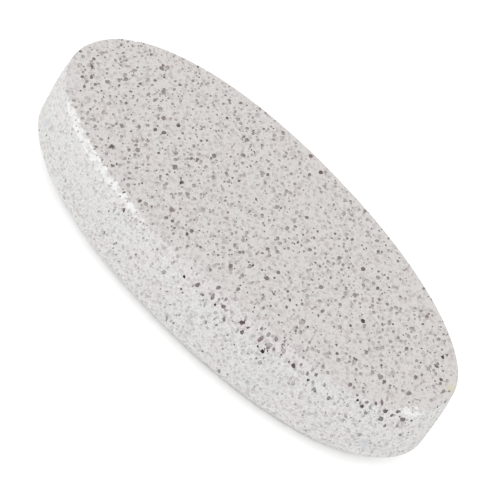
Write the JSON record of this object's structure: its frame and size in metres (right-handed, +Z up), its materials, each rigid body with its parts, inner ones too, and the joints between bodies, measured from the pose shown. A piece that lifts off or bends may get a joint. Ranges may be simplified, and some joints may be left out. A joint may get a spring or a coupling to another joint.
{
  "type": "pumice stone",
  "caption": "Oval tablet of pale grey pumice with a flat porous top, upright rubbed wall and tucked-in foot, for rubbing hard skin smooth.",
  "frame": {"origin": "centre of the stone's box, at the level of the underside it rests on", "axes": "+X along the length towards the narrower end, -Y towards the side whose top edge is worn round, +Z up out of the flat top face"},
  "size_m": [0.1, 0.051, 0.017],
  "materials": {
    "pumice": "dry, matte, light grey foamed stone with brown-grey open pores, rubbed paler and smoother on the wall and edge"
  },
  "bodies": {
    "root": {"pumice_stone": "pumice"}
  },
  "joints": []
}
